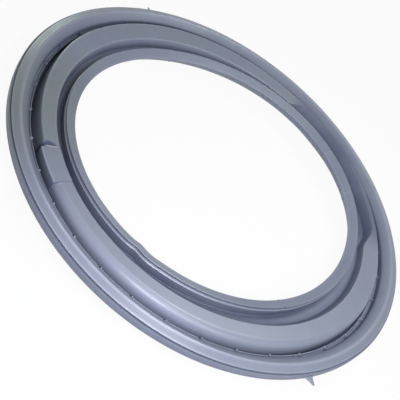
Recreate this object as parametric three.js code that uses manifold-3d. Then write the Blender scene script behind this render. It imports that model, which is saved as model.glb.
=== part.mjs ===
import * as THREE from 'three';
import * as BufferGeometryUtils from 'three/addons/utils/BufferGeometryUtils.js';
import Module from 'manifold-3d';

// Door seal of a front-loading washing machine: one ring of moulded grey-blue rubber.
// Millimetres, +Z up along the ring's axis, visible face up.
// The origin is the centre of the flat base ring that the seal rests on.
// Angles are in degrees, anticlockwise from +X as seen from above.

// Outer flange with its clamp slot
const flangeRadius = 200;
const flangeHeight = 24;
const flangeTopWidth = 7.2;
const flangeEdge = 0.6;
const ridgeRise = 2.8;
const ridgeFillet = 2.2;
const innerSlopeWidth = 8.8;
const innerSlopeDrop = 5.7;
const innerSlopeFillet = 1.2;
const bandProud = 1.8;
const bandHeight = 8.2;
const bandFillet = 3;
const bandTopFillet = 0.5;
const slotDepth = 4.5;
const slotMouth = 0.9;
const slotFall = 0.5;

// Channel behind the flange, with its beaded shelf and narrow groove
const channelDepth = 5.3;
const channelDraft = 0.3;
const shelfWidth = 2.2;
const beadWidth = 1.3;
const beadRise = 1;
const grooveWidth = 2;
const grooveDepth = 5.2;
const ribCount = 36;
const ribPhase = 4.6;
const ribThickness = 1.3;
const ribRise = 2;
const ribRoot = 1.2;
const ribInset = 0.1;

// Broad hump, the outer half of the bellows
const humpRise = 2.2;
const humpWidth = 18.9;
const humpFall = 1;
const humpShoulder = 7.5;
const humpEdgeFillet = 1.4;
const flankLean = 0.5;
const humpWall = 3.4;
const hollowFillet = 2;
const hollowRoof = 1;
const hollowDraft = 0.5;

// Fold between the hump and the neck
const foldDepth = 8;
const foldDraft = 2.3;
const foldFillet = 2.5;
const foldShelfWidth = 3.5;
const foldShelfDrop = 0.6;
const troughWidth = 4.9;
const troughDepth = 0.8;
const troughFillet = 1;
const foldWall = 3;
const foldUnderFillet = 5;
const foldUnderRise = 1;

// Neck and sealing lip
const neckRise = 9.8;
const neckWall = 3;
const neckBeadProud = 0.8;
const neckBeadHeight = 1.6;
const undercutDepth = 1.4;
const undercutDrop = 0.4;
const lipRise = 13.2;
const lipEdge = 1.1;
const lipWidth = 9.3;
const lipFall = 4;
const lipThickness = 1.5;
const lipUnderDraft = 0.4;
const lipUnderRise = 1.3;

// Base ring under the channel
const baseOuterWall = 2;
const baseFillet = 1.5;

// Oval set of the lip, as packing has left it
const ovalSet = 6.5;
const ovalAngle = 57.5;
const eggSet = 1.5;
const eggAngle = -46;
const humpShare = 0.3;
const foldShare = 0.6;

// A small buckle in the lip, at the near end of its short axis
const buckleAngle = -93;
const buckleDepth = 1.3;
const buckleWidth = 2.2;
const buckleCrest = 0.6;
const buckleCrestOffset = 5.5;
const buckleCrestWidth = 3;

// Relief cut in the hump: a sloping wall with a narrow rim above it, which widens to its end
const reliefStart = 89;
const reliefStartRun = 6;
const reliefFull = 32;
const reliefEnd = 20.5;
const reliefRim = 1.6;
const reliefEndRim = 5.5;
const reliefTaper = 30;
const reliefWall = 8.5;
const reliefDrop = 1.5;
const reliefLift = 0.8;
const reliefHollow = 6.5;

// Flat pad on the hump, with a thumb pocket at one end and a raised tick at the other
const padStart = -130.8;
const padEnd = -119.8;
const padProud = 1.2;
const padRise = 0.5;
const padEdgeFillet = 0.4;
const padEndRun = 0.25;
const pocketRadius = 7;
const pocketDepth = 1.7;
const pocketInset = 7.2;
const pocketGap = 1.2;
const tickInset = 3;
const tickLength = 3;
const tickThickness = 0.9;
const tickRise = 0.3;
const tickRoot = 1.5;

// Alignment fin and nib on the outer band, opposite each other
const finAngle = -35.7;
const finReach = 8;
const finBase = 9;
const finSkew = 1.6;
const finThickness = 2;
const finDrop = 5.2;
const nibAngle = 144.2;
const nibReach = 4.3;
const nibBase = 3.2;
const nibThickness = 1.6;
const nibDrop = 1.9;
const bladeRoot = 2;
const bladeTip = 0.6;
const bladeShoulder = 0.3;

// Fineness of the faceted surface
const stationCount = 80;
const buckleStations = [-1.2, -0.5, 0.5, 1.2];
const stationGap = 0.2;
const filletSteps = { small: 1, medium: 2, large: 3 };
const pocketSegments = 5;

// Radii, each worked out from the flange inwards
const ridgeRadius = flangeRadius - flangeTopWidth;
const channelRadius = ridgeRadius - innerSlopeWidth;
const beadRadius = channelRadius - shelfWidth;
const grooveRadius = beadRadius - beadWidth;
const flankRadius = grooveRadius - grooveWidth;
const humpEdgeRadius = flankRadius - humpWidth;
const foldWallRadius = humpEdgeRadius - foldDraft;
const foldShelfRadius = foldWallRadius - foldShelfWidth;
const neckRadius = foldShelfRadius - troughWidth;
const neckInnerRadius = neckRadius - neckWall;
const lipInnerRadius = neckRadius - lipWidth;
const bandRadius = flangeRadius + bandProud;
const slotRadius = flangeRadius - slotDepth;
const baseOuterRadius = channelRadius + baseOuterWall;
const baseInnerRadius = flankRadius - humpWall;

// Heights above the base
const ridgeHeight = flangeHeight + ridgeRise;
const channelTop = ridgeHeight - innerSlopeDrop;
const shelfHeight = channelTop - channelDepth;
const grooveHeight = shelfHeight - grooveDepth;
const bandTop = flangeHeight - flangeEdge - slotMouth;
const bandBottom = bandTop - bandHeight;
const humpHeight = flangeHeight + humpRise;
const humpEdgeHeight = humpHeight - humpFall;
const foldShelfHeight = humpEdgeHeight - foldDepth;
const troughHeight = foldShelfHeight - foldShelfDrop - troughDepth;
const foldUnderHeight = troughHeight - foldWall;
const neckTop = troughHeight + neckRise;
const lipHeight = troughHeight + lipRise;
const lipInnerHeight = lipHeight - lipFall;
const lipUnderHeight = lipInnerHeight - lipThickness;

const radians = THREE.MathUtils.degToRad;
const smoothstep = THREE.MathUtils.smoothstep;

// The signed turn from one angle to another, between -180 and 180 degrees
function turnBetween(angle, reference) {
  return THREE.MathUtils.euclideanModulo(angle - reference + 180, 360) - 180;
}

// How far the packed lip stands out from its moulded circle at an angle
function lipSet(angle) {
  const oval = ovalSet * Math.cos(radians(2 * (angle - ovalAngle)));
  const egg = eggSet * Math.cos(radians(3 * (angle - eggAngle)));
  return oval + egg;
}

// The buckle is a short inward dent with a soft outward crest beside it
function buckle(angle) {
  const turn = turnBetween(angle, buckleAngle);
  const dent = Math.exp(-((turn / buckleWidth) ** 2));
  const crest = Math.exp(-(((turn - buckleCrestOffset) / buckleCrestWidth) ** 2));
  return buckleCrest * crest - buckleDepth * dent;
}

// Share of the relief cut at an angle: 0 outside it, 1 where it is deepest
function relief(angle) {
  const turn = turnBetween(angle, 0);
  const ramp = smoothstep(turn, reliefEnd, reliefFull);
  const wall = 1 - smoothstep(turn, reliefStart - reliefStartRun, reliefStart);
  return ramp * wall;
}

// Width of the rim above the relief cut's wall at an angle
function rimWidth(angle) {
  const taper = smoothstep(turnBetween(angle, reliefFull), 0, reliefTaper);
  return THREE.MathUtils.lerp(reliefEndRim, reliefRim, taper);
}

// Share of the flat pad at an angle, with steep ends
function pad(angle) {
  const turn = turnBetween(angle, 0);
  const rise = smoothstep(turn, padStart - padEndRun, padStart);
  const fall = 1 - smoothstep(turn, padEnd, padEnd + padEndRun);
  return rise * fall;
}

// Turns corners {r, z, fillet, steps} into a closed outline with an arc of steps + 1 points
// at each corner that has a fillet, kept within its own share of the shorter side
function filletedOutline(corners) {
  const share = 0.45;
  const points = [];
  corners.forEach((corner, index) => {
    const here = new THREE.Vector2(corner.r, corner.z);
    if (!corner.fillet) {
      points.push(here);
      return;
    }
    const before = corners[(index + corners.length - 1) % corners.length];
    const after = corners[(index + 1) % corners.length];
    const toBefore = new THREE.Vector2(before.r, before.z).sub(here);
    const toAfter = new THREE.Vector2(after.r, after.z).sub(here);
    const room = share * Math.min(toBefore.length(), toAfter.length());
    const halfAngle = 0.5 * Math.abs(toBefore.angleTo(toAfter));
    const reach = Math.min(room, corner.fillet / Math.tan(halfAngle));
    const start = here.clone().addScaledVector(toBefore.normalize(), reach);
    const end = here.clone().addScaledVector(toAfter.normalize(), reach);
    const arc = new THREE.QuadraticBezierCurve(start, here, end);
    points.push(...arc.getPoints(corner.steps));
  });
  return points;
}

// The corners of the seal's section at an angle, anticlockwise from the foot of the base ring
function sectionCorners(angle) {
  const set = lipSet(angle);
  const cut = relief(angle);
  const flat = pad(angle);
  const lipShift = set + buckle(angle);
  const humpShift = humpShare * set;
  const foldShift = foldShare * set;
  const cutEdge = flankRadius - flankLean - rimWidth(angle);
  const edgeRadius = THREE.MathUtils.lerp(humpEdgeRadius + humpShift, cutEdge, cut);
  const cutWall = flankRadius - reliefWall;
  const shelfDrop = reliefDrop * cut;
  const wallRadius = THREE.MathUtils.lerp(foldWallRadius + foldShift, cutWall, cut);
  const crest = reliefLift * cut + padRise * flat;
  const shoulder = THREE.MathUtils.lerp(humpShoulder, padEdgeFillet, flat);
  const hollowInner = Math.min(edgeRadius + humpWall, baseInnerRadius - hollowRoof);
  const hollowWall = Math.min(wallRadius + humpWall, hollowInner - hollowDraft);
  const cutHollow = foldUnderHeight + reliefHollow;
  const hollowTop = THREE.MathUtils.lerp(humpEdgeHeight - humpWall, cutHollow, cut);
  const { small, medium, large } = filletSteps;
  return [
    { r: baseOuterRadius, z: 0, fillet: baseFillet, steps: small },
    { r: baseOuterRadius, z: bandBottom },
    { r: bandRadius, z: bandBottom, fillet: bandFillet, steps: medium },
    { r: bandRadius, z: bandTop, fillet: bandTopFillet, steps: small },
    { r: slotRadius, z: bandTop - slotFall },
    { r: flangeRadius, z: flangeHeight - flangeEdge },
    { r: flangeRadius, z: flangeHeight },
    { r: ridgeRadius, z: ridgeHeight, fillet: ridgeFillet, steps: medium },
    { r: channelRadius, z: channelTop, fillet: innerSlopeFillet, steps: small },
    { r: channelRadius - channelDraft, z: shelfHeight },
    { r: beadRadius, z: shelfHeight },
    { r: beadRadius - 0.5 * beadWidth, z: shelfHeight + beadRise },
    { r: grooveRadius, z: shelfHeight },
    { r: grooveRadius, z: grooveHeight },
    { r: flankRadius, z: grooveHeight },
    {
      r: flankRadius - flankLean + (padProud + flankLean) * flat,
      z: humpHeight + crest,
      fillet: shoulder,
      steps: large,
    },
    { r: edgeRadius, z: humpEdgeHeight + crest, fillet: humpEdgeFillet, steps: medium },
    { r: wallRadius, z: foldShelfHeight - shelfDrop, fillet: foldFillet, steps: small },
    { r: foldShelfRadius + lipShift, z: foldShelfHeight - foldShelfDrop },
    { r: neckRadius + lipShift, z: troughHeight, fillet: troughFillet, steps: small },
    { r: neckRadius + lipShift, z: neckTop - neckBeadHeight },
    { r: neckRadius + neckBeadProud + lipShift, z: neckTop - 0.5 * neckBeadHeight },
    { r: neckRadius - undercutDepth + lipShift, z: lipHeight - lipEdge - undercutDrop },
    { r: neckRadius + lipShift, z: lipHeight - lipEdge },
    { r: neckRadius + lipShift, z: lipHeight },
    { r: lipInnerRadius + lipShift, z: lipInnerHeight },
    { r: lipInnerRadius + lipUnderDraft + lipShift, z: lipUnderHeight },
    { r: neckInnerRadius + lipShift, z: lipUnderHeight + lipUnderRise },
    { r: neckInnerRadius + lipShift, z: foldUnderHeight, fillet: foldUnderFillet, steps: medium },
    { r: hollowWall, z: foldUnderHeight + foldUnderRise },
    { r: hollowInner, z: hollowTop, fillet: hollowFillet, steps: small },
    { r: baseInnerRadius, z: hollowTop, fillet: hollowFillet, steps: small },
    { r: baseInnerRadius, z: 0, fillet: baseFillet, steps: small },
  ];
}

// Angles at which the section is drawn: evenly round the ring, and closer where it changes fast
function stationAngles() {
  const angles = [];
  for (let index = 0; index < stationCount; index += 1) {
    angles.push((index * 360) / stationCount);
  }
  for (const share of buckleStations) {
    angles.push(buckleAngle + share * buckleWidth);
  }
  angles.push(reliefStart, reliefStart - reliefStartRun, reliefFull, reliefEnd);
  angles.push(padStart - padEndRun, padStart, padEnd, padEnd + padEndRun);
  const wrapped = angles.map((angle) => THREE.MathUtils.euclideanModulo(angle, 360));
  wrapped.sort((first, second) => first - second);
  return wrapped.filter((angle, index) => index === 0 || angle - wrapped[index - 1] > stationGap);
}

// The ring: the section drawn at every station, joined station to station and closed
function ringGeometry() {
  const outlines = stationAngles().map((angle) => {
    const turn = radians(angle);
    return filletedOutline(sectionCorners(angle)).map((point) => [
      point.x * Math.cos(turn),
      point.x * Math.sin(turn),
      point.y,
    ]);
  });
  const around = outlines.length;
  const along = outlines[0].length;
  const indices = [];
  for (let i = 0; i < around; i += 1) {
    const next = (i + 1) % around;
    for (let j = 0; j < along; j += 1) {
      const above = (j + 1) % along;
      const a = i * along + j;
      const b = next * along + j;
      const c = next * along + above;
      const d = i * along + above;
      indices.push(a, b, c, a, c, d);
    }
  }
  const geometry = new THREE.BufferGeometry();
  geometry.setAttribute('position', new THREE.Float32BufferAttribute(outlines.flat(2), 3));
  geometry.setIndex(indices);
  return geometry;
}

// Puts a shape made along local +X, at the ring's centre, out to its angle
function atAngle(geometry, angle) {
  return geometry.rotateZ(radians(angle));
}

// A thin rib that ties the bead to the outer wall of the channel
function ribGeometry(angle) {
  const inner = grooveRadius + ribInset;
  const outer = channelRadius + ribRoot;
  const bottom = shelfHeight - ribRoot;
  const top = shelfHeight + ribRise;
  const rib = new THREE.BoxGeometry(outer - inner, ribThickness, top - bottom);
  rib.translate(0.5 * (inner + outer), 0, 0.5 * (top + bottom));
  return atAngle(rib, angle);
}

// A pointed blade on the outer band, its tip set to one side of its base by skew, and its middle
// below the flange's edge by drop
function bladeGeometry(angle, { reach, base, skew, thickness, drop }) {
  const blade = new THREE.Shape();
  blade.moveTo(bandRadius - bladeRoot, -0.5 * base);
  blade.lineTo(bandRadius - bladeRoot, 0.5 * base);
  blade.lineTo(bandRadius - bladeShoulder, 0.5 * base);
  blade.lineTo(bandRadius + reach, skew + 0.5 * bladeTip);
  blade.lineTo(bandRadius + reach, skew - 0.5 * bladeTip);
  blade.lineTo(bandRadius - bladeShoulder, -0.5 * base);
  const solid = new THREE.ExtrudeGeometry(blade, { depth: thickness, bevelEnabled: false });
  solid.translate(0, 0, bandTop + flangeEdge - drop - 0.5 * thickness);
  return atAngle(solid, angle);
}

// A half-round thumb pocket in the hump, its straight side along the end of the pad
function pocketGeometry() {
  const centre = flankRadius - pocketInset;
  const outline = new THREE.Shape();
  outline.absarc(centre, 0, pocketRadius, Math.PI, 2 * Math.PI, false);
  outline.closePath();
  const cutter = new THREE.ExtrudeGeometry(outline, {
    depth: 3 * pocketDepth,
    bevelEnabled: false,
    curveSegments: pocketSegments,
  });
  cutter.translate(0, 0, humpHeight - pocketDepth);
  return atAngle(cutter, padStart - pocketGap);
}

// A short raised tick on the hump, at the far end of the pad from its pocket
function tickGeometry() {
  const tick = new THREE.BoxGeometry(tickLength, tickThickness, tickRise + tickRoot);
  const middle = flankRadius - tickInset - 0.5 * tickLength;
  tick.translate(middle, 0, humpHeight + 0.5 * (tickRise - tickRoot));
  return atAngle(tick, padEnd);
}

const wasm = await Module();
wasm.setup();

// A closed geometry as a solid that can be joined and cut
function solidFrom(geometry) {
  const bare = geometry.clone();
  bare.deleteAttribute('normal');
  bare.deleteAttribute('uv');
  const merged = BufferGeometryUtils.mergeVertices(bare);
  const mesh = new wasm.Mesh({
    numProp: 3,
    vertProperties: new Float32Array(merged.attributes.position.array),
    triVerts: new Uint32Array(merged.index.array),
  });
  return new wasm.Manifold(mesh);
}

// The solid back as an indexed geometry with smoothed normals
function geometryFrom(solid) {
  const mesh = solid.getMesh();
  const geometry = new THREE.BufferGeometry();
  geometry.setAttribute('position', new THREE.Float32BufferAttribute(mesh.vertProperties, 3));
  geometry.setIndex(new THREE.Uint32BufferAttribute(mesh.triVerts, 1));
  geometry.computeVertexNormals();
  return geometry;
}

const fin = {
  reach: finReach,
  base: finBase,
  skew: finSkew,
  thickness: finThickness,
  drop: finDrop,
};
const nib = {
  reach: nibReach,
  base: nibBase,
  skew: 0,
  thickness: nibThickness,
  drop: nibDrop,
};

// The whole seal: the ring, less its pocket, with its tick, ribs, fin and nib
function sealGeometry() {
  let seal = solidFrom(ringGeometry()).subtract(solidFrom(pocketGeometry()));
  seal = seal.add(solidFrom(tickGeometry()));
  for (let index = 0; index < ribCount; index += 1) {
    const angle = ribPhase + (index * 360) / ribCount;
    seal = seal.add(solidFrom(ribGeometry(angle)));
  }
  seal = seal.add(solidFrom(bladeGeometry(finAngle, fin)));
  seal = seal.add(solidFrom(bladeGeometry(nibAngle, nib)));
  return geometryFrom(seal);
}

const rubber = new THREE.MeshStandardMaterial({
  name: 'grey_blue_rubber',
  color: new THREE.Color(0x878ca3),
  roughness: 0.5,
  metalness: 0,
});

const doorSeal = new THREE.Mesh(sealGeometry(), rubber);
doorSeal.name = 'door_seal';

const part = new THREE.Group();
part.add(doorSeal);

export default part;
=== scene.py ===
"""Looks of a washing machine door seal: one ring of grey-blue moulded rubber, lying flat.

The seal is drawn as a section in the plane of radius and height, repeated at many angles round the
ring. Sizes are in millimetres in the row frame, and become metres when a mesh is made.
"""

import logging
import math
from dataclasses import dataclass
from enum import Enum
from typing import Any, Union

import bpy
import numpy as np
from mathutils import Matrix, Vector

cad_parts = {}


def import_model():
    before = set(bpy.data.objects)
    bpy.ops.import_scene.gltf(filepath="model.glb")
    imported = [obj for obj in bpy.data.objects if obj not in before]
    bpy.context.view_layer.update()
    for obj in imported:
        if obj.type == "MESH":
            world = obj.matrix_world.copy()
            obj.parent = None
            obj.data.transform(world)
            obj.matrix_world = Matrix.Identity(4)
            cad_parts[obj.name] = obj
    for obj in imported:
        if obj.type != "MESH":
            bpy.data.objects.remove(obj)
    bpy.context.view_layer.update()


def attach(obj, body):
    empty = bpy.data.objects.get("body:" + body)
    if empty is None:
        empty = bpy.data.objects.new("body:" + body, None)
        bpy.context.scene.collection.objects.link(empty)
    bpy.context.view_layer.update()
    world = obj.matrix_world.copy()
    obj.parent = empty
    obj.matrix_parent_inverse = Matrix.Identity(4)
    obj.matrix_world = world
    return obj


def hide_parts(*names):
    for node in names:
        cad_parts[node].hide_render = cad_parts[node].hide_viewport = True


LOG = logging.getLogger("door_seal")
METRES = 0.001
TINY = 1e-12
WHITE = (1.0, 1.0, 1.0, 1.0)
Array = np.ndarray
Number = Union[float, Array]
Triple = tuple[float, float, float]


def smooth(value: Number, low: float, high: float) -> Array:
    """An S-curve from 0 at low to 1 at high: 3 t squared less 2 t cubed.

    Args:
        value: The number or array to shape.
        low: Where the curve leaves 0.
        high: Where the curve reaches 1.

    Returns:
        The curve's height at each value.
    """
    share = np.clip((value - low) / (high - low), 0.0, 1.0)
    return share * share * (3.0 - 2.0 * share)


def blend(first: Number, second: Number, share: Number) -> Array:
    """The mix of two values: first at share 0, second at share 1."""
    return first + (second - first) * share


def turn_between(angle: Number, reference: Number) -> Array:
    """The signed turn in degrees from reference to angle, between -180 and 180."""
    return (angle - reference + 180.0) % 360.0 - 180.0


def window(value: Number, rise: float, full: float, fall: float, end: float) -> Array:
    """0 up to rise, 1 from full to fall and 0 again from end on, joined by S-curves."""
    return smooth(value, rise, full) * (1.0 - smooth(value, fall, end))


def plateau(value: Number, length: float, run: float) -> Array:
    """0 up to value 0 and again from length on, and 1 between but for an S-curve's run at each end."""
    return window(value, 0.0, run, length - run, length)


def bell(angle: Number, middle: float, width: float) -> Array:
    """A bell curve round the ring: e to the power of minus the square of the turn over the width."""
    return np.exp(-((turn_between(angle, middle) / width) ** 2))


def unit(vectors: Array) -> Array:
    """Vectors divided by their own lengths."""
    return vectors / np.maximum(np.linalg.norm(vectors, axis=-1, keepdims=True), TINY)


def linear(red: int, green: int, blue: int) -> tuple[float, ...]:
    """A display colour as linear light, by the sRGB curve.

    Args:
        red: Red from 0 to 255.
        green: Green from 0 to 255.
        blue: Blue from 0 to 255.

    Returns:
        Red, green and blue from 0 to 1, and full alpha.
    """
    shares = [value / 255.0 for value in (red, green, blue)]
    light = [s / 12.92 if s <= 0.04045 else ((s + 0.055) / 1.055) ** 2.4 for s in shares]
    return (*light, 1.0)


@dataclass(frozen=True)
class Stretch:
    """A stretch of the ring: full up to half degrees from its middle, then fading by an S-curve."""

    middle: float
    half: float
    fade: float

    def share(self, angle: Array) -> Array:
        """1 in the stretch, 0 away from it."""
        turn = np.abs(turn_between(angle, self.middle))
        return 1.0 - smooth(turn, self.half, self.half + self.fade)


class Zone(Enum):
    """The stretches of the section that features change, from outside in, and the plain rest."""

    PLAIN = 0
    FLANGE = 1
    SHELF = 2
    HUMP = 3
    FOLD = 4
    LIP = 5


@dataclass
class Corner:
    """One corner of the section, with its radius and height at every station at once.

    Steps is how many chords draw its fillet, and run how many points are spread along the straight
    side after it. Its last two values are a painted highlight on the edge and painted shade in the
    recess, 1 being plain to see.
    """

    r: Number
    z: Number
    fillet: Number
    zone: Zone = Zone.PLAIN
    steps: int = 1
    run: int = 0
    painted_highlight: float = 0.0
    painted_shade: float = 0.0


@dataclass
class Outline:
    """The rounded section at every station.

    Radii, heights, painted highlights and painted shade have one row for each station and one column
    for each point of the section. There is an angle in degrees for each station, and a zone's number
    for each point.
    """

    angle: Array
    r: Array
    z: Array
    zones: Array
    painted_highlight: Array
    painted_shade: Array

    def within(self, zone: Zone) -> Array:
        """Which points of the section belong to a zone."""
        return self.zones == zone.value

    def paint_highlight(self, part: Array, painted_highlight: Number) -> None:
        """Raises the painted highlight of some points of the section to a value where it is less."""
        self.painted_highlight[:, part] = np.maximum(self.painted_highlight[:, part], painted_highlight)

    def darken(self, part: Array, painted_shade: Number) -> None:
        """Raises the painted shade of some points of the section to a value where it is less."""
        self.painted_shade[:, part] = np.maximum(self.painted_shade[:, part], painted_shade)


def round_corners(corners: list[Corner], angle: Array) -> Outline:
    """Turns corners into a closed outline with a circular arc at each of them.

    An arc starts and ends at the same reach along the two sides that meet: the fillet's radius over
    the tangent of half their angle, but never past a set share of the shorter side. Its centre lies
    on the bisector, and its points turn about that centre.

    Args:
        corners: The corners, anticlockwise, each with its value at every station.
        angle: The stations' angles in degrees.

    Returns:
        The outline, with its runs of straight points put in.
    """
    side_share = 0.45
    sharpest = 0.999
    stations = len(angle)
    level = np.zeros(stations)
    places = np.stack([np.stack([c.r + level, c.z + level], -1) for c in corners])
    back = np.roll(places, 1, axis=0) - places
    ahead = np.roll(places, -1, axis=0) - places
    back_length = np.linalg.norm(back, axis=-1, keepdims=True)
    ahead_length = np.linalg.norm(ahead, axis=-1, keepdims=True)
    back /= back_length
    ahead /= ahead_length
    cosine = np.clip((back * ahead).sum(-1, keepdims=True), -1.0, sharpest)
    half = 0.5 * np.arccos(cosine)
    room = side_share * np.minimum(back_length, ahead_length)
    arcs = []
    for index, corner in enumerate(corners):
        fillet = np.broadcast_to(corner.fillet, stations)[:, None]
        tangent = np.tan(half[index])
        reach = np.minimum(room[index], fillet / tangent)
        radius = reach * tangent
        bisector = unit(back[index] + ahead[index])
        across = unit(ahead[index] - back[index])
        centre = places[index] + bisector * radius / np.sin(half[index])
        shares = np.linspace(-1.0, 1.0, corner.steps + 1)[:, None, None]
        turn = shares * (0.5 * math.pi - half[index])
        arcs.append(centre + radius * (across * np.sin(turn) - bisector * np.cos(turn)))
    # Each point carries its corner's painted highlight and painted shade; the straight runs have no
    # highlight and blend the shade.
    points, zones, painted_highlight, painted_shade = [], [], [], []
    for index, corner in enumerate(corners):
        following = corners[(index + 1) % len(corners)]
        arc = arcs[index]
        points.append(arc)
        zones += [corner.zone.value] * len(arc)
        painted_highlight += [corner.painted_highlight] * len(arc)
        painted_shade += [corner.painted_shade] * len(arc)
        if corner.run:
            shares = np.linspace(0.0, 1.0, corner.run + 2)[1:-1]
            end = arcs[(index + 1) % len(arcs)][0]
            points.append(blend(arc[-1], end, shares[:, None, None]))
            zones += [corner.zone.value] * corner.run
            painted_highlight += [0.0] * corner.run
            painted_shade += list(blend(corner.painted_shade, following.painted_shade, shares))
    stacked = np.concatenate(points).transpose(1, 0, 2)
    r, z = stacked[..., 0].copy(), stacked[..., 1].copy()
    painted_highlight, painted_shade = np.tile(painted_highlight, (stations, 1)), np.tile(painted_shade, (stations, 1))
    return Outline(angle, r, z, np.array(zones), painted_highlight, painted_shade)


@dataclass(frozen=True)
class Flange:
    """The outer flange with its ridge, its clamp slot and the band below the slot."""

    radius: float = 200.0
    height: float = 24.0
    top_width: float = 7.2
    edge: float = 0.6
    ridge_rise: float = 2.8
    ridge_fillet: float = 1.6
    slope_width: float = 8.2
    slope_drop: float = 5.7
    slope_fillet: float = 3.0
    band_proud: float = 1.8
    band_height: float = 8.2
    band_fillet: float = 3.0
    band_top_fillet: float = 0.5
    slot_depth: float = 4.5
    slot_mouth: float = 0.9
    slot_fall: float = 0.5

    @property
    def inner_radius(self) -> float:
        """Radius at the foot of the inner slope, where the channel's wall starts."""
        return self.radius - self.top_width - self.slope_width

    @property
    def inner_height(self) -> float:
        """Height at the foot of the inner slope."""
        return self.height + self.ridge_rise - self.slope_drop

    @property
    def band_radius(self) -> float:
        """Radius of the band, the seal's widest place."""
        return self.radius + self.band_proud

    @property
    def band_top(self) -> float:
        """Height of the band's upper edge."""
        return self.height - self.edge - self.slot_mouth

    @property
    def band_bottom(self) -> float:
        """Height of the band's lower edge."""
        return self.band_top - self.band_height


@dataclass(frozen=True)
class Channel:
    """The channel behind the flange: its wall, its beaded shelf, the narrow groove and the ribs."""

    depth: float = 5.3
    draft: float = 0.3
    shelf_width: float = 2.6
    bead_width: float = 1.5
    bead_rise: float = 2.4
    groove_width: float = 2.0
    groove_depth: float = 5.2
    rib_count: int = 36
    rib_phase: float = 4.6
    rib_thickness: float = 1.3
    rib_rise: float = 2.9
    level_ribs: Stretch = Stretch(-97.0, half=27.0, fade=7.0)
    # Painted shade on the ribs along a stretch of the left side.
    shaded_ribs: Stretch = Stretch(-160.0, half=12.0, fade=8.0)
    rib_shade: float = 1.4
    rib_edge: float = 0.35
    notch_gap: float = 0.3
    notch_width: float = 1.7
    notch_depth: float = 0.9

    def across_nearest_rib(self, angle: Array, radius: float) -> Array:
        """Distance along the ring from the nearest rib's middle, in millimetres."""
        half = 180.0 / self.rib_count
        return np.radians((angle - self.rib_phase + half) % (2.0 * half) - half) * radius

    def rib(self, angle: Array, radius: float) -> Array:
        """Share of a rib's height at an angle: 1 on its top, 0 beside it."""
        beyond = np.abs(self.across_nearest_rib(angle, radius)) - 0.5 * self.rib_thickness
        return 1.0 - smooth(beyond, -0.5 * self.rib_edge, 0.5 * self.rib_edge)

    def notch(self, angle: Array, radius: float) -> Array:
        """Share of the notch that breaks the bead beside each rib."""
        beyond = -self.across_nearest_rib(angle, radius) - 0.5 * self.rib_thickness - self.notch_gap
        return plateau(beyond + self.rib_edge, self.notch_width + self.rib_edge, self.rib_edge)

    def stations(self, radius: float) -> Array:
        """The angles that draw each rib's and notch's edges.

        Args:
            radius: The radius at which the rib's thickness is measured.

        Returns:
            Angles in degrees for all the ribs.
        """
        half = 0.5 * self.rib_thickness
        edge = 0.5 * self.rib_edge
        start = half + self.notch_gap
        end = start + self.notch_width
        offsets = [half + edge, half - edge, edge - half, -half - edge]
        offsets += [self.rib_edge - start, -start, self.rib_edge - end, -end]
        turns = np.degrees(np.array(offsets) / radius)
        middles = self.rib_phase + np.arange(self.rib_count) * 360.0 / self.rib_count
        return (middles[:, None] + turns).ravel()


@dataclass(frozen=True)
class Hump:
    """The broad hump of the bellows and the hollow under it."""

    rise: float = 2.2
    width: float = 18.9
    fall: float = 1.0
    shoulder: float = 7.5
    far_shoulder: float = 3.0
    soft_side: Stretch = Stretch(-78.0, half=50.0, fade=28.0)
    shoulder_steps: int = 8
    edge_fillet: float = 1.4
    flank_lean: float = 0.5
    wall: float = 3.4
    hollow_fillet: float = 2.0
    hollow_roof: float = 1.0
    hollow_draft: float = 0.5
    top_points: int = 15


@dataclass(frozen=True)
class Fold:
    """The fold between the hump and the neck."""

    depth: float = 8.0
    draft: float = 2.3
    fillet: float = 2.5
    shelf_width: float = 3.5
    shelf_drop: float = 0.6
    trough_width: float = 4.9
    trough_depth: float = 0.8
    trough_fillet: float = 1.0
    wall: float = 3.0
    under_fillet: float = 5.0
    under_rise: float = 1.0


@dataclass(frozen=True)
class Lip:
    """The neck with its bead, the undercut and the thin sealing lip."""

    neck_rise: float = 9.8
    neck_wall: float = 3.0
    bead_proud: float = 1.0
    bead_height: float = 1.6
    undercut_depth: float = 1.7
    undercut_drop: float = 1.2
    rise: float = 13.2
    edge: float = 1.1
    width: float = 9.3
    fall: float = 4.0
    thickness: float = 1.5
    under_draft: float = 0.4
    under_rise: float = 1.3


@dataclass(frozen=True)
class PackedSet:
    """The shape that packing has left in the lip: an oval, a slight egg and a small buckle.

    The lip stands out by an oval's cosine of twice the angle and an egg's cosine of three times the
    angle. The buckle is a narrow bell curve inwards, with a wider, lower one outwards beside it.
    Its stations are the first, the last and their number, in widths of the buckle.
    """

    oval: float = 6.5
    oval_angle: float = 57.5
    egg: float = 1.5
    egg_angle: float = -46.0
    hump_share: float = 0.3
    fold_share: float = 0.6
    buckle_angle: float = -93.0
    buckle_depth: float = 1.3
    buckle_width: float = 2.2
    crest: float = 0.6
    crest_offset: float = 5.5
    crest_width: float = 3.0
    stations: tuple[float, float, int] = (-1.5, 1.5, 9)

    def set_at(self, angle: Array) -> Array:
        """How far the lip stands out from its moulded circle, without the buckle."""
        oval = self.oval * np.cos(np.radians(2.0 * (angle - self.oval_angle)))
        return oval + self.egg * np.cos(np.radians(3.0 * (angle - self.egg_angle)))

    def buckle(self, angle: Array) -> Array:
        """The buckle's shift of the lip."""
        crest = self.crest * bell(angle, self.buckle_angle + self.crest_offset, self.crest_width)
        return crest - self.buckle_depth * bell(angle, self.buckle_angle, self.buckle_width)


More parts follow.
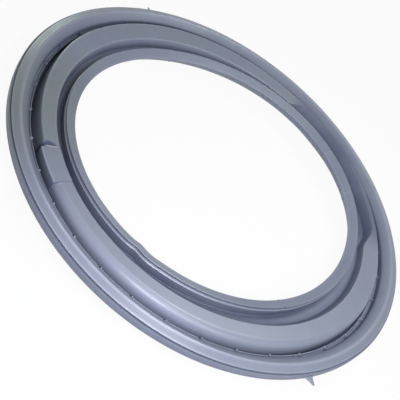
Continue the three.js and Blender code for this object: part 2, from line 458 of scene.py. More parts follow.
@dataclass(frozen=True)
class ReliefCut:
    """The cut in the hump's inner side: a sloping wall under a narrow rim, which widens to its end.

    Its stations are the first, the last and their number, in runs of its slanting start.
    """

    start: float = 89.0
    start_run: float = 6.0
    full: float = 32.0
    end: float = 20.5
    rim: float = 1.6
    end_rim: float = 5.5
    taper: float = 30.0
    wall: float = 11.0
    drop: float = 1.5
    lift: float = 0.8
    hollow: float = 6.5
    # Painted shade on the cut's wall and on the rim above it.
    shade: float = 1.15
    rim_shade: float = 0.9
    stations: tuple[float, float, int] = (-0.1, 1.1, 9)

    def share(self, angle: Array) -> Array:
        """Share of the cut at an angle: 0 outside it, 1 where it is deepest."""
        turn = turn_between(angle, 0.0)
        return window(turn, self.end, self.full, self.start - self.start_run, self.start)

    def rim_width(self, angle: Array) -> Array:
        """Width of the rim above the cut's wall."""
        taper = smooth(turn_between(angle, self.full), 0.0, self.taper)
        return blend(self.end_rim, self.rim, taper)


@dataclass(frozen=True)
class Pad:
    """The flat pad on the hump, the thumb pocket at one end of it and the tick at the other.

    Beyond is a distance past the pocket's straight edge, past one from the pad's far end, and inward
    one from the hump's outer flank. The stations are the first, the end and the step, in degrees from
    the edge that they draw.
    """

    start: float = -130.8
    end: float = -119.8
    end_run: float = 0.25
    proud: float = 0.8
    rise: float = 0.5
    edge_fillet: float = 0.7
    pocket_radius: float = 6.3
    pocket_depth: float = 2.1
    pocket_inset: float = 7.5
    pocket_gap: float = 0.75
    pocket_edge: float = 0.45
    # Painted shade in the pocket, a painted highlight on the pad's outer edge past the first points of
    # the shoulder's arc, and a painted dark line of shade at the foot of the pad's far end.
    pocket_shade: float = 1.2
    paint_highlight: float = 0.8
    highlight_from: int = 2
    foot_width: float = 0.175
    foot_shade: float = 0.9
    rim_rise: float = 0.4
    rim_width: float = 0.5
    rim_ends: tuple[float, float] = (-0.8, 0.4)
    lead_turn: float = 30.0
    lead_fade: float = 25.0
    lead_fillet: float = 1.6
    lead_lean: float = 2.8
    tick_gap: float = 0.6
    tick_inset: float = 2.7
    tick_length: float = 4.0
    tick_thickness: float = 1.1
    tick_rise: float = 0.6
    tick_edge: float = 0.3
    tick_end: float = 0.6
    pocket_stations: Triple = (-0.5, 2.6, 0.1)
    tick_stations: Triple = (0.1, 0.8, 0.08)

    def share(self, angle: Array) -> Array:
        """Share of the pad at an angle, with steep ends."""
        turn = turn_between(angle, self.start - self.end_run)
        return plateau(turn, self.end - self.start + 2.0 * self.end_run, self.end_run)

    def foot(self, angle: Array) -> Array:
        """Share of the painted shade line at the foot of the pad's far end."""
        return bell(angle, self.end + 0.5 * self.end_run, self.foot_width)

    def lead(self, angle: Array) -> Array:
        """Share of the crisper, leaning flank that the hump has as it nears the pocket."""
        before = turn_between(self.start, angle)
        return window(before, 0.0, self.end_run, self.lead_turn, self.lead_turn + self.lead_fade)

    def pocket(self, beyond: Array, inward: Array) -> Array:
        """Share of the pocket's depth: a half disc beyond its straight edge."""
        reach = self.pocket_radius - np.hypot(inward - self.pocket_inset, beyond)
        return smooth(reach, 0.0, 2.0 * self.pocket_edge) * smooth(beyond, 0.0, self.pocket_edge)

    def rim(self, beyond: Array, inward: Array) -> Array:
        """Share of the thin rim's height: a bell curve on the near side of the straight edge."""
        ends = smooth(np.abs(inward - self.pocket_inset) - self.pocket_radius, *self.rim_ends)
        return np.exp(-((beyond / self.rim_width + 1.0) ** 2)) * (1.0 - ends)

    def tick(self, past: Array, inward: Array) -> Array:
        """Share of the tick's height: a short bar across the hump, just past the pad."""
        along = plateau(past - self.tick_gap, self.tick_thickness, self.tick_edge)
        return along * plateau(inward - self.tick_inset, self.tick_length, self.tick_end)

    def stations(self) -> Array:
        """The angles that draw the pad's ends, the pocket and the tick.

        Returns:
            Angles in degrees.
        """
        ends = self.end_run * np.array([0.0, 0.5, 1.0])
        pocket = self.start - self.pocket_gap - np.arange(*self.pocket_stations)
        tick = self.end + np.arange(*self.tick_stations)
        return np.concatenate([self.start - ends, self.end + ends, pocket, tick])


@dataclass(frozen=True)
class LitSide:
    """The side of the ring painted lighter where light falls, and a stretch painted with greenish shade.
    """

    side: Stretch = Stretch(-91.0, half=12.0, fade=22.0)
    elsewhere: float = 0.6
    gain: float = 2.0
    # Painted light on the flange and hump on the lit side, and painted shade on the lip away from it.
    flange_light: float = 0.5
    hump_light: float = 0.25
    lip_shade: float = 0.3
    # A stretch of the left side painted with a darker greenish shade.
    green_shade: Stretch = Stretch(-149.0, half=8.0, fade=22.0)


@dataclass(frozen=True)
class LipNicks:
    """Small nicks that handling has left in the lip's outer edge.

    Their stations are the first, the last and their number, in widths of a nick.
    """

    angles: tuple[float, ...] = (143.0, 64.0, 45.0, -37.0)
    width: float = 0.9
    depth: float = 0.5
    stations: tuple[float, float, int] = (-0.8, 0.8, 7)

    def share(self, angle: Array) -> Array:
        """A narrow bell curve at each nick."""
        return np.sum([bell(angle, nick, 0.5 * self.width) for nick in self.angles], axis=0)


@dataclass(frozen=True)
class Blade:
    """A pointed blade on the band: an alignment fin or its smaller nib.

    Along its reach the blade's sides close in from the base to the tip, and flare into the band at
    the root. Round each section it is a superellipse, so that its faces are flat and its edges soft.

    Base and tip are its widths at the band and at its end, and skew sets the tip to one side. Root is
    how deep it is set into the band, and drop how far it lies below the flange's edge. Thinning is the
    share of its thickness that is lost towards the tip, and flare its extra half width at the band, of
    which flare_rise is the share that the half thickness gains.
    """

    angle: float
    reach: float
    base: float
    skew: float
    thickness: float
    flare: float = 0.9
    tip: float = 0.7
    root: float = 1.5
    drop: float = 5.2
    thinning: float = 0.35
    flare_rise: float = 0.4
    # A faint painted highlight over the whole blade.
    painted_highlight: float = 0.2
    squareness: float = 4.0
    sections: int = 22
    around: int = 24

    def surface(self, flange: Flange) -> tuple[Array, Array]:
        """The blade as a tube of sections, the first and the last drawn in to a point.

        Args:
            flange: The flange whose band carries it.

        Returns:
            Points in millimetres, and the faces that join them.
        """
        share = np.linspace(0.0, 1.0, self.sections)
        outward = -self.root + (self.reach + self.root) * share
        free = np.clip(outward / self.reach, 0.0, 1.0)
        flare = self.flare * np.exp(-np.clip(outward, 0.0, None) / self.flare)
        half = 0.5 * blend(self.base, self.tip, free) + flare
        middle = self.skew * free
        height = 0.5 * self.thickness * (1.0 - self.thinning * free) + self.flare_rise * flare
        closing = np.ones(self.sections)
        closing[[0, -1]] = 0.0
        around = np.linspace(0.0, 2.0 * math.pi, self.around, endpoint=False)
        circle = np.stack([np.cos(around), np.sin(around)])
        side, up = np.sign(circle) * np.abs(circle) ** (2.0 / self.squareness)
        x = flange.band_radius + np.repeat(outward[:, None], self.around, axis=1)
        y = middle[:, None] + (half * closing)[:, None] * side
        level = flange.band_top + flange.edge - self.drop
        z = level + (height * closing)[:, None] * up
        turn = math.radians(self.angle)
        out, across = x * math.cos(turn) - y * math.sin(turn), x * math.sin(turn) + y * math.cos(turn)
        points = np.stack([out, across, z], -1)
        faces = grid_faces(self.sections, self.around, closed_rows=False)
        return points.reshape(-1, 3), faces


def grid_faces(rows: int, columns: int, closed_rows: bool) -> Array:
    """The four-sided faces that join the points of a grid.

    Point number row times columns plus column is joined to its right and upper neighbours, and the
    last column to the first.

    Args:
        rows: Rows of points.
        columns: Points in each row, joined into a closed outline.
        closed_rows: Whether the last row joins the first.

    Returns:
        Four point numbers for each face.
    """
    row = np.arange(rows if closed_rows else rows - 1)[:, None]
    column = np.arange(columns)[None, :]
    following = (row + 1) % rows
    beside = (column + 1) % columns
    near, far = row * columns, following * columns
    corners = [near + column, far + column, far + beside, near + beside]
    return np.stack(corners, -1).reshape(-1, 4)


@dataclass
class DoorSeal:
    """The whole seal: one moulded ring with its ribs, pad, pocket, fin and nib.

    The surface is a function of two parameters, the angle round the ring and the place along the
    section. The section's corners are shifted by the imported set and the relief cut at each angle,
    then rounded, and the small features raise or lower the points of their own zone.
    """

    flange: Flange = Flange()
    channel: Channel = Channel()
    hump: Hump = Hump()
    fold: Fold = Fold()
    lip: Lip = Lip()
    packed: PackedSet = PackedSet()
    relief: ReliefCut = ReliefCut()
    pad: Pad = Pad()
    lit_side: LitSide = LitSide()
    nicks: LipNicks = LipNicks()
    fin: Blade = Blade(angle=-35.7, reach=8.0, base=7.2, skew=1.6, thickness=2.0)
    nib: Blade = Blade(144.2, reach=4.3, base=2.2, skew=0.0, thickness=1.6, flare=0.6, drop=1.9)
    base_outer_wall: float = 2.0
    base_fillet: float = 1.5
    even_stations: int = 360
    least_turn: float = 0.03
    node: str = "door_seal"
    slot: str = "rubber"

    @property
    def bead_radius(self) -> float:
        """Radius where the shelf's bead starts."""
        return self.flange.inner_radius - self.channel.shelf_width

    @property
    def groove_radius(self) -> float:
        """Radius of the groove's outer wall."""
        return self.bead_radius - self.channel.bead_width

    @property
    def flank_radius(self) -> float:
        """Radius of the hump's outer flank."""
        return self.groove_radius - self.channel.groove_width

    @property
    def shelf_height(self) -> float:
        """Height of the shelf in the channel."""
        return self.flange.inner_height - self.channel.depth

    @property
    def hump_height(self) -> float:
        """Height of the hump at its flank."""
        return self.flange.height + self.hump.rise

    def stations(self) -> Array:
        """All the angles at which the section is drawn: evenly round, and closer at the features.

        Returns:
            Angles in degrees, in order and each at least a least turn past the one before.
        """
        packed, relief, nicks = self.packed, self.relief, self.nicks
        even = np.arange(self.even_stations) * 360.0 / self.even_stations
        buckle = packed.buckle_angle + packed.buckle_width * np.linspace(*packed.stations)
        slant = relief.start - relief.start_run * np.linspace(*relief.stations)
        dents = [angle + nicks.width * np.linspace(*nicks.stations) for angle in nicks.angles]
        edges = [self.channel.stations(self.bead_radius), self.pad.stations()]
        angles = np.sort(np.concatenate([even, buckle, slant, *edges, *dents]) % 360.0)
        return angles[np.diff(angles, prepend=angles[-1] - 360.0) > self.least_turn]

    def corners(self, angle: Array) -> list[Corner]:
        """The section's corners at every station, anticlockwise from the foot of the base ring.

        Args:
            angle: The stations' angles in degrees.

        Returns:
            The corners, each with one radius and height for each station.
        """
        flange, channel, hump, fold, lip = self.flange, self.channel, self.hump, self.fold, self.lip
        packed = self.packed.set_at(angle)
        cut = self.relief.share(angle)
        flat = self.pad.share(angle)
        lip_shift = packed + self.packed.buckle(angle) - self.nicks.depth * self.nicks.share(angle)
        hump_shift = self.packed.hump_share * packed
        fold_shift = self.packed.fold_share * packed
        flank = self.flank_radius
        base_inner = flank - hump.wall
        base_outer = flange.inner_radius + self.base_outer_wall
        hump_edge = flank - hump.width
        fold_wall = hump_edge - fold.draft
        shelf_inner = fold_wall - fold.shelf_width
        neck = shelf_inner - fold.trough_width + lip_shift
        neck_inner = neck - lip.neck_wall
        lip_inner = neck - lip.width
        rim_edge = flank - hump.flank_lean - self.relief.rim_width(angle)
        edge = blend(hump_edge + hump_shift, rim_edge, cut)
        wall = blend(fold_wall + fold_shift, flank - self.relief.wall, cut)
        crest = self.relief.lift * cut + self.pad.rise * flat
        lead = self.pad.lead(angle)
        shoulder = blend(hump.far_shoulder, hump.shoulder, hump.soft_side.share(angle))
        shoulder = blend(shoulder, self.pad.lead_fillet, lead)
        shoulder = blend(shoulder, self.pad.edge_fillet, flat)
        lean = hump.flank_lean + self.pad.lead_lean * lead
        flank_top = flank - lean + (self.pad.proud + hump.flank_lean) * flat
        hollow_inner = np.minimum(edge + hump.wall, base_inner - hump.hollow_roof)
        hollow_wall = np.minimum(wall + hump.wall, hollow_inner - hump.hollow_draft)
        shelf = self.shelf_height
        groove = shelf - channel.groove_depth
        hump_top = self.hump_height
        hump_edge_top = hump_top - hump.fall
        fold_shelf = hump_edge_top - fold.depth
        trough = fold_shelf - fold.shelf_drop - fold.trough_depth
        under = trough - fold.wall
        neck_top = trough + lip.neck_rise
        lip_top = trough + lip.rise
        lip_inner_top = lip_top - lip.fall
        lip_under = lip_inner_top - lip.thickness
        hollow_top = blend(hump_edge_top - hump.wall, under + self.relief.hollow, cut)
        channel_foot = flange.inner_radius - channel.draft
        bead_middle = self.bead_radius - 0.5 * channel.bead_width
        bead_top = shelf + channel.bead_rise
        band, band_fillet, top_fillet = flange.band_radius, flange.band_fillet, flange.band_top_fillet
        slot_floor, slot_height = flange.radius - flange.slot_depth, flange.band_top - flange.slot_fall
        ridge, ridge_top = flange.radius - flange.top_width, flange.height + flange.ridge_rise
        slope, slope_foot = flange.inner_radius, flange.inner_height
        steps, top_run = hump.shoulder_steps, hump.top_points
        shelf_outer, fold_low = shelf_inner + lip_shift, fold_shelf - fold.shelf_drop
        bead_low, bead_high = neck_top - lip.bead_height, neck_top - 0.5 * lip.bead_height
        lip_low = lip_top - lip.edge
        undercut = neck - lip.undercut_depth
        # The last values of the corners paint highlights on the flange's edge and ridge, the channel's
        # bead, the hump, the neck's bead and the lip, and paint shade in the band, slot, channel, groove,
        # fold, trough, undercut, under the lip and in the hollow.
        return [
            Corner(base_outer, 0.0, self.base_fillet, steps=2),
            Corner(base_outer, flange.band_bottom, fillet=0.8, painted_shade=0.4),
            Corner(band, flange.band_bottom, band_fillet, steps=4, painted_shade=0.5),
            Corner(band, flange.band_top, top_fillet, steps=2, painted_shade=0.3),
            Corner(slot_floor, slot_height, fillet=0.15, painted_shade=1.5),
            Corner(flange.radius, flange.height - flange.edge, fillet=0.15, zone=Zone.FLANGE, painted_highlight=0.4),
            Corner(flange.radius, flange.height, fillet=0.3, zone=Zone.FLANGE, steps=2, run=3, painted_highlight=0.8),
            Corner(ridge, ridge_top, flange.ridge_fillet, Zone.FLANGE, steps=5, run=4, painted_highlight=1.0),
            Corner(slope, slope_foot, flange.slope_fillet, Zone.FLANGE, steps=4, painted_shade=0.55),
            Corner(channel_foot, shelf, fillet=0.4, zone=Zone.SHELF, painted_shade=0.8),
            Corner(self.bead_radius, shelf, fillet=0.2, zone=Zone.SHELF, painted_shade=0.4),
            Corner(bead_middle, bead_top, fillet=0.45, zone=Zone.SHELF, steps=3, painted_highlight=1.0),
            Corner(self.groove_radius, shelf, fillet=0.2, zone=Zone.SHELF, painted_shade=0.4),
            Corner(self.groove_radius, groove, fillet=0.5, painted_shade=1.0),
            Corner(flank, groove, fillet=0.5, painted_shade=1.0),
            Corner(flank_top, hump_top + crest, shoulder, Zone.HUMP, steps, top_run, painted_highlight=0.3),
            Corner(edge, hump_edge_top + crest, hump.edge_fillet, Zone.HUMP, steps=4, painted_highlight=0.5),
            Corner(wall, fold_shelf - self.relief.drop * cut, fold.fillet, Zone.FOLD, steps=4, painted_shade=0.8),
            Corner(shelf_outer, fold_low, fillet=0.4, zone=Zone.FOLD, steps=2, painted_shade=0.5),
            Corner(neck, trough, fold.trough_fillet, Zone.FOLD, steps=3, painted_shade=1.0),
            Corner(neck, bead_low, fillet=0.3, painted_shade=0.2),
            Corner(neck + lip.bead_proud, bead_high, fillet=0.35, steps=2, painted_highlight=0.8),
            Corner(undercut, lip_low - lip.undercut_drop, fillet=0.2, painted_shade=1.4),
            Corner(neck, lip_low, fillet=0.2, zone=Zone.LIP, run=1, painted_shade=1.4),
            Corner(neck, lip_top, fillet=0.4, zone=Zone.LIP, steps=2, run=3, painted_highlight=0.3),
            Corner(lip_inner, lip_inner_top, fillet=0.35, zone=Zone.LIP, steps=2, painted_highlight=0.6),
            Corner(lip_inner + lip.under_draft, lip_under, fillet=0.3, painted_highlight=0.3),
            Corner(neck_inner, lip_under + lip.under_rise, fillet=0.6, painted_shade=0.6),
            Corner(neck_inner, under, fold.under_fillet, steps=4),
            Corner(hollow_wall, under + fold.under_rise, fillet=0.8, painted_shade=0.6),
            Corner(hollow_inner, hollow_top, hump.hollow_fillet, steps=2, painted_shade=0.8),
            Corner(base_inner, hollow_top, hump.hollow_fillet, steps=2, painted_shade=0.8),
            Corner(base_inner, 0.0, self.base_fillet, steps=2),
        ]

    def raise_ribs(self, outline: Outline) -> None:
        """Lifts the shelf to each rib's top, breaks the bead beside it and paints shade on the ribs of
        one stretch.

        Args:
            outline: The outline, changed in place.
        """
        channel, angle = self.channel, outline.angle
        shelf = outline.within(Zone.SHELF)
        rib = channel.rib(angle, self.bead_radius)[:, None]
        notch = channel.notch(angle, self.bead_radius)[:, None]
        height = outline.z[:, shelf]
        height = height - notch * channel.notch_depth * np.clip(height - self.shelf_height, 0.0, None)
        rise = blend(channel.rib_rise, channel.bead_rise, channel.level_ribs.share(angle))[:, None]
        outline.z[:, shelf] = blend(height, self.shelf_height + rise, rib)
        outline.darken(shelf, channel.rib_shade * channel.shaded_ribs.share(angle)[:, None] * rib)

    def press_pocket(self, outline: Outline) -> None:
        """Sinks the thumb pocket into the hump with painted shade in it, and raises its rim, with a
        painted highlight, and the tick past the pad.

        Args:
            outline: The outline, changed in place.
        """
        pad, angle = self.pad, outline.angle[:, None]
        hump = outline.within(Zone.HUMP)
        radius, height = outline.r[:, hump], outline.z[:, hump]
        beyond = np.radians(turn_between(pad.start - pad.pocket_gap, angle)) * radius
        past = np.radians(turn_between(angle, pad.end)) * radius
        inward = self.flank_radius - radius
        depth = pad.pocket(beyond, inward)
        rim = pad.rim(beyond, inward)
        floor = np.minimum(self.hump_height - pad.pocket_depth, height)
        lifted = pad.tick_rise * pad.tick(past, inward) + pad.rim_rise * rim
        outline.z[:, hump] = blend(height, floor, depth) + lifted
        outline.paint_highlight(hump, rim)
        outline.darken(hump, pad.pocket_shade * depth)

    def shade_features(self, outline: Outline) -> None:
        """Paints shade on the relief cut's wall and rim and at the pad's foot, and a highlight on the
        pad's edge.

        Args:
            outline: The outline, changed in place.
        """
        relief, pad = self.relief, self.pad
        hump = outline.within(Zone.HUMP)
        shade = relief.share(outline.angle)[:, None]
        outline.darken(outline.within(Zone.FOLD), relief.shade * shade)
        outline.darken(hump, relief.rim_shade * shade)
        outline.darken(hump, pad.foot_shade * pad.foot(outline.angle)[:, None])
        shoulder = np.flatnonzero(hump)[pad.highlight_from : self.hump.shoulder_steps + 1]
        outline.paint_highlight(shoulder, pad.paint_highlight * pad.share(outline.angle)[:, None])

    def paint_lit_side(self, outline: Outline) -> None:
        """Strengthens the painted highlights on the lit side, weakens them elsewhere, paints light on the
        flange and hump there and paints shade on the lip away from it.

        Args:
            outline: The outline, changed in place.
        """
        share = self.lit_side.side.share(outline.angle)[:, None]
        outline.painted_highlight *= blend(self.lit_side.elsewhere, self.lit_side.gain, share)
        outline.painted_highlight[:, outline.within(Zone.FLANGE)] += self.lit_side.flange_light * share
        outline.painted_highlight[:, outline.within(Zone.HUMP)] += self.lit_side.hump_light * share
        outline.darken(outline.within(Zone.LIP), self.lit_side.lip_shade * (1.0 - share))

    def surface(self) -> tuple[Array, Array, dict[str, Array]]:
        """The ring's points, faces and point values.

        Returns:
            Points in millimetres, the faces that join them, and each point's painted highlight, painted
            shade and painted greenish shade.
        """
        angle = self.stations()
        outline = round_corners(self.corners(angle), angle)
        for change in (self.raise_ribs, self.paint_lit_side, self.shade_features, self.press_pocket):
            change(outline)
        turn = np.radians(angle)[:, None]
        points = np.stack([outline.r * np.cos(turn), outline.r * np.sin(turn), outline.z], -1)
        count = len(outline.zones)
        green_shade = np.repeat(self.lit_side.green_shade.share(angle), count)
        values = {"painted_highlight": outline.painted_highlight.ravel(), "painted_shade": outline.painted_shade.ravel(), "green_shade": green_shade}
        return points.reshape(-1, 3), grid_faces(len(angle), count, closed_rows=True), values

    def build(self) -> bpy.types.Object:
        """Makes the seal as one mesh object, with smooth normals weighted by face area.

        Returns:
            The seal.
        """
        points, faces, values = self.surface()
        for blade in (self.fin, self.nib):
            blade_points, blade_faces = blade.surface(self.flange)
            faces = np.concatenate([faces, blade_faces + len(points)])
            points = np.concatenate([points, blade_points])
            for name, value in values.items():
                own = blade.painted_highlight if name == "painted_highlight" else 0.0
                values[name] = np.concatenate([value, np.full(len(blade_points), own)])
        seal = mesh_object(self.node + "_rubber", points * METRES, faces, values)
        LOG.info("%s: %d points, %d faces", seal.name, len(points), len(faces))
        return seal

    def dress(self, seal: bpy.types.Object) -> None:
        """Gives the seal its rubber, and ties it to the CAD body that it stands for.

        Args:
            seal: The seal's mesh object.
        """
        seal.data.materials.append(GreyBlueRubber().material())
        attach(seal, "root")
        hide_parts(self.node)


def area_normals(points: Array, faces: Array) -> Array:
    """A unit normal for each point: the sum of its faces' normals, each as long as its face's area.

    Args:
        points: The points.
        faces: Four point numbers for each face.

    Returns:
        One unit normal for each point.
    """
    first = points[faces[:, 2]] - points[faces[:, 0]]
    second = points[faces[:, 3]] - points[faces[:, 1]]
    face_normals = np.cross(first, second)
    normals = np.zeros_like(points)
    for column in range(faces.shape[1]):
        np.add.at(normals, faces[:, column], face_normals)
    return unit(normals)


def mesh_object(name: str, points: Array, faces: Array, values: dict[str, Array]) -> bpy.types.Object:
    """Puts points and faces into a new mesh object at the origin.

    Args:
        name: The object's name.
        points: Points in metres.
        faces: Four point numbers for each face, anticlockwise from outside.
        values: Named values, one for each point, kept as attributes.

    Returns:
        The linked object, shaded smooth.
    """
    mesh = bpy.data.meshes.new(name)
    mesh.vertices.add(len(points))
    mesh.vertices.foreach_set("co", points.astype(np.float32).ravel())
    mesh.loops.add(faces.size)
    mesh.loops.foreach_set("vertex_index", faces.astype(np.int32).ravel())
    mesh.polygons.add(len(faces))
    mesh.polygons.foreach_set("loop_start", np.arange(0, faces.size, 4, dtype=np.int32))
    mesh.update(calc_edges=True)
    for key, value in values.items():
        attribute = mesh.attributes.new(key, "FLOAT", "POINT")
        attribute.data.foreach_set("value", value.astype(np.float32))
    mesh.validate()
    mesh.shade_smooth()
    mesh.normals_split_custom_set_from_vertices(area_normals(points, faces).tolist())
    thing = bpy.data.objects.new(name, mesh)
    bpy.context.scene.collection.objects.link(thing)
    return thing


@dataclass
class Signal:
    """A shader socket that takes part in Python expressions. Each operator adds its Math node."""

    graph: "Graph"
    socket: Any

    def _math(self, operation: str, first: Any, second: Any) -> "Signal":
        """The result of a Math node with two operands."""
        inputs = {0: first, 1: second}
        return self.graph.node("ShaderNodeMath", {"operation": operation}, inputs).out(0)

    def __add__(self, other: Any) -> "Signal":
        """This plus other."""
        return self._math("ADD", self, other)

    def __radd__(self, other: Any) -> "Signal":
        """Other plus this."""
        return self._math("ADD", other, self)

    def __sub__(self, other: Any) -> "Signal":
        """This less other."""
        return self._math("SUBTRACT", self, other)

    def __rsub__(self, other: Any) -> "Signal":
        """Other less this."""
        return self._math("SUBTRACT", other, self)

    def __mul__(self, other: Any) -> "Signal":
        """This times other."""
        return self._math("MULTIPLY", self, other)

    def __rmul__(self, other: Any) -> "Signal":
        """Other times this."""
        return self._math("MULTIPLY", other, self)

    def smooth(self, low: float, high: float) -> "Signal":
        """An S-curve from 0 at low to 1 at high."""
        inputs = {"Value": self, "From Min": low, "From Max": high}
        return self.graph.node("ShaderNodeMapRange", {"interpolation_type": "SMOOTHSTEP"}, inputs).out(0)

    def clamp(self) -> "Signal":
        """This, kept between 0 and 1."""
        return self.graph.node("ShaderNodeClamp", {}, {"Value": self}).out("Result")


@dataclass
class Step:
    """A node whose outputs can be taken by name or number."""

    graph: "Graph"
    node: Any

    def out(self, key: Union[str, int]) -> Signal:
        """One output as a signal."""
        return Signal(self.graph, self.node.outputs[key])


class Graph:
    """A shader node tree that is written as expressions."""

    def __init__(self, tree: bpy.types.NodeTree) -> None:
        """Empties the tree.

        Args:
            tree: The material's or world's node tree.
        """
        self.tree = tree
        tree.nodes.clear()

    def node(self, kind: str, settings: dict[str, Any], inputs: dict[Any, Any]) -> Step:
        """Adds a node, with its settings first and then its sockets.

        Args:
            kind: The node's type name.
            settings: Its settings by name.
            inputs: Values or signals for its sockets, by name or number.

        Returns:
            The node, ready to give its outputs.
        """
        made = self.tree.nodes.new(kind)
        for name, value in settings.items():
            setattr(made, name, value)
        for key, value in inputs.items():
            if isinstance(value, Signal):
                self.tree.links.new(value.socket, made.inputs[key])
            else:
                made.inputs[key].default_value = value
        return Step(self, made)

    def attribute(self, name: str) -> Signal:
        """A mesh attribute's number."""
        return self.node("ShaderNodeAttribute", {"attribute_name": name}, {}).out("Fac")

    def mix(self, share: Any, first: Any, second: Any) -> Signal:
        """The mix of two colours: first at share 0, second at share 1."""
        return self.node("ShaderNodeMix", {"data_type": "RGBA"}, {0: share, 6: first, 7: second}).out(2)

    def noise(self, place: Signal, scale: float, detail: float, roughness: float = 0.5) -> Signal:
        """Fractal noise from 0 to 1 at a place in metres, with scale lumps to a metre."""
        inputs = {"Vector": place, "Scale": scale, "Detail": detail, "Roughness": roughness}
        return self.node("ShaderNodeTexNoise", {}, inputs).out("Fac")

    def seen(self) -> Signal:
        """1 for rays from the camera and for mirrored or transmitted ones, 0 for the rest."""
        ray = self.node("ShaderNodeLightPath", {}, {}).out
        return (ray("Is Camera Ray") + ray("Is Glossy Ray") + ray("Is Transmission Ray")).clamp()


@dataclass(frozen=True)
class GreyBlueRubber:
    """Moulded grey-blue rubber with a satin skin and a faint bloom, painted highlights on its edges and
    painted shade in its folds.
    """

    name: str = "grey_blue_rubber"
    body: tuple[float, ...] = linear(133, 140, 157)
    bloom: tuple[float, ...] = linear(146, 152, 166)
    cool: tuple[float, ...] = linear(126, 133, 156)
    # Colours for painted shade, a painted highlight and a painted greenish shade.
    painted_shade: tuple[float, ...] = linear(56, 65, 96)
    paint_highlight: tuple[float, ...] = linear(174, 178, 200)
    green_shade: tuple[float, ...] = linear(104, 113, 102)
    roughness: float = 0.36
    specular: float = 0.5
    grain_size: float = 0.0007
    grain_height: float = 0.00003
    grain_strength: float = 0.5
    cool_share: float = 0.5
    bloom_share: float = 0.25
    green_shade_share: float = 0.45
    highlight_share: float = 0.45
    highlight_ripple: float = 0.2
    shade_share: float = 0.5
    shade_ripple: float = 0.25
    bloom_rough: float = 0.08
    shade_rough: float = 0.2
    highlight_gloss: float = 0.1

    def material(self) -> bpy.types.Material:
        """The finish as a material: tints over the body colour, a varied roughness and a fine grain.

        Returns:
            The material.
        """
        made = bpy.data.materials.new(self.name)
        made.use_nodes = True
        graph = Graph(made.node_tree)
        place = graph.node("ShaderNodeTexCoord", {}, {}).out("Object")
        painted_highlight, painted_shade, green_shade = (graph.attribute(name) for name in ("painted_highlight", "painted_shade", "green_shade"))
        broad = graph.noise(place, scale=14.0, detail=3.0).smooth(low=0.35, high=0.7)
        patchy = graph.noise(place, scale=90.0, detail=4.0, roughness=0.6).smooth(low=0.4, high=0.75)
        grain = graph.noise(place, scale=1.0 / self.grain_size, detail=2.0)
        # Painted highlights and shade, rippled by the broad noise, and the painted greenish shade are
        # mixed over the body colour.
        highlight_mix = (painted_highlight * (self.highlight_share + broad * self.highlight_ripple)).clamp()
        shade_mix = (painted_shade * (self.shade_share + broad * self.shade_ripple)).clamp()
        colour = graph.mix(broad * self.cool_share, self.body, self.cool)
        colour = graph.mix(patchy * self.bloom_share, colour, self.bloom)
        colour = graph.mix(green_shade * self.green_shade_share, colour, self.green_shade)
        colour = graph.mix(highlight_mix, colour, self.paint_highlight)
        colour = graph.mix(shade_mix, colour, self.painted_shade)
        rough = self.roughness + patchy * self.bloom_rough + painted_shade * self.shade_rough
        bumps = {"Strength": self.grain_strength, "Distance": self.grain_height, "Height": grain}
        bump = graph.node("ShaderNodeBump", {}, bumps)
        inputs = {
            "Base Color": colour,
            "Roughness": rough - painted_highlight * self.highlight_gloss,
            "Specular IOR Level": self.specular,
            "Normal": bump.out("Normal"),
        }
        shader = graph.node("ShaderNodeBsdfPrincipled", {}, inputs).out(0)
        graph.node("ShaderNodeOutputMaterial", {}, {"Surface": shader})
        return made


@dataclass(frozen=True)
class PaleFloor:
    """A plain white floor that stays white to the camera and keeps a soft shadow."""

    name: str = "pale_floor"
    colour: tuple[float, ...] = (0.9, 0.9, 0.9, 1.0)
    lift: float = 0.94
    half_size: float = 4.0
    drop: float = 0.0002

    def material(self) -> bpy.types.Material:
        """White from above with a share of its own light for the camera, and clear from below.

        Returns:
            The material.
        """
        made = bpy.data.materials.new(self.name)
        made.use_nodes = True
        graph = Graph(made.node_tree)
        matte = graph.node("ShaderNodeBsdfDiffuse", {}, {"Color": self.colour}).out(0)
        glow = graph.node("ShaderNodeEmission", {}, {}).out(0)
        lit = {0: graph.seen() * self.lift, 1: matte, 2: glow}
        top = graph.node("ShaderNodeMixShader", {}, lit).out(0)
        clear = graph.node("ShaderNodeBsdfTransparent", {}, {}).out(0)
        behind = graph.node("ShaderNodeNewGeometry", {}, {}).out("Backfacing")
        both = graph.node("ShaderNodeMixShader", {}, {0: behind, 1: top, 2: clear}).out(0)
        graph.node("ShaderNodeOutputMaterial", {}, {"Surface": both})
        return made

    def build(self) -> bpy.types.Object:
        """The floor as one square face, just under the seal.

        Returns:
            The floor.
        """
        reach = self.half_size
        corners = [(-reach, -reach), (reach, -reach), (reach, reach), (-reach, reach)]
        points = np.array([(x, y, -self.drop) for x, y in corners])
        floor = mesh_object("floor", points, np.array([[0, 1, 2, 3]]), {})
        floor.data.materials.append(self.material())
        return floor


@dataclass(frozen=True)
class SoftLamp:
    """A soft round lamp that points at the seal, its place and width in metres, its power in watts."""

    name: str
    place: Triple
    size: float
    power: float
    colour: Triple

    def build(self) -> bpy.types.Object:
        """The lamp, turned towards the seal's middle.

        Returns:
            The lamp's object.
        """
        data = bpy.data.lights.new(self.name, "AREA")
        data.shape = "DISK"
        data.size = self.size
        data.energy = self.power
        data.color = self.colour
        lamp = bpy.data.objects.new(self.name, data)
        lamp.location = self.place
        lamp.rotation_euler = (-Vector(self.place)).to_track_quat("-Z", "Y").to_euler()
        bpy.context.scene.collection.objects.link(lamp)
        return lamp


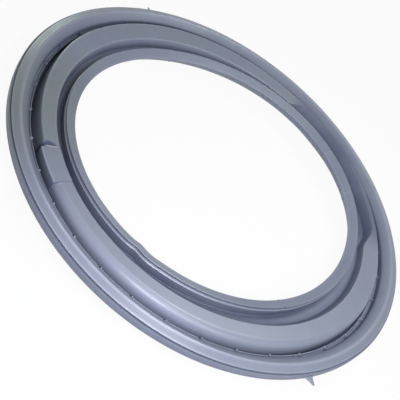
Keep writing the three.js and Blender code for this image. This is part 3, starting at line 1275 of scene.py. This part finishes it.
@dataclass
class Studio:
    """The floor, the lamps, the world and the camera at the photograph's viewing angle."""

    floor: PaleFloor = PaleFloor()
    lamps: tuple[SoftLamp, ...] = (
        SoftLamp("right", (0.31, -0.31, 0.34), 0.25, 0.6, (0.98, 1.0, 0.88)),
        SoftLamp("front", (0.1, -0.43, 0.34), 0.2, 1.4, (0.9, 0.9, 1.0)),
        SoftLamp("front_low", (0.06, -0.42, 0.12), 0.12, 0.06, (0.8, 0.8, 1.0)),
        SoftLamp("top", (0.13, 0.22, 0.49), 0.2, 0.94, (0.92, 0.97, 1.0)),
        SoftLamp("top_right", (0.13, -0.22, 0.49), 0.2, 0.4, (0.97, 1.0, 0.9)),
        SoftLamp("back_left", (-0.93, 0.72, 0.25), 0.36, 2.3, (0.84, 1.0, 0.84)),
        SoftLamp("left_low", (-0.8, -0.42, 0.2), 0.3, 0.8, (0.9, 1.0, 0.92)),
    )
    world_strength: float = 0.05
    eye: Triple = (0.00484, -0.61584, 0.50130)
    turn: Triple = (41.254, -30.730, 30.379)
    sensor: float = 36.0
    lens: float = 77.4
    clip: tuple[float, float] = (0.01, 50.0)

    def build(self) -> None:
        """Makes all of the studio."""
        self.floor.build()
        for lamp in self.lamps:
            lamp.build()
        self.light_world()
        self.place_camera()

    def light_world(self) -> None:
        """An even white sky, at full strength only where it is seen directly or mirrored."""
        world = bpy.data.worlds.new("soft_sky")
        world.use_nodes = True
        bpy.context.scene.world = world
        graph = Graph(world.node_tree)
        inputs = {"Color": WHITE, "Strength": self.world_strength}
        sky = graph.node("ShaderNodeBackground", {}, inputs).out(0)
        plain = graph.node("ShaderNodeBackground", {}, {"Color": WHITE}).out(0)
        both = graph.node("ShaderNodeMixShader", {}, {0: graph.seen(), 1: sky, 2: plain}).out(0)
        graph.node("ShaderNodeOutputWorld", {}, {"Surface": both})

    def place_camera(self) -> None:
        """The camera at the place and turn, in degrees, that the photograph's outlines gave."""
        data = bpy.data.cameras.new("photo_view")
        data.sensor_width = self.sensor
        data.lens = self.lens
        data.clip_start, data.clip_end = self.clip
        camera = bpy.data.objects.new("photo_view", data)
        camera.location = self.eye
        camera.rotation_euler = [math.radians(value) for value in self.turn]
        bpy.context.scene.collection.objects.link(camera)
        bpy.context.scene.camera = camera


def main() -> None:
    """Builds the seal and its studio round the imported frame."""
    logging.basicConfig(level=logging.INFO)
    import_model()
    bpy.context.scene.view_settings.view_transform = "Standard"
    door_seal = DoorSeal()
    door_seal.dress(door_seal.build())
    Studio().build()


if __name__ == "__main__":
    main()
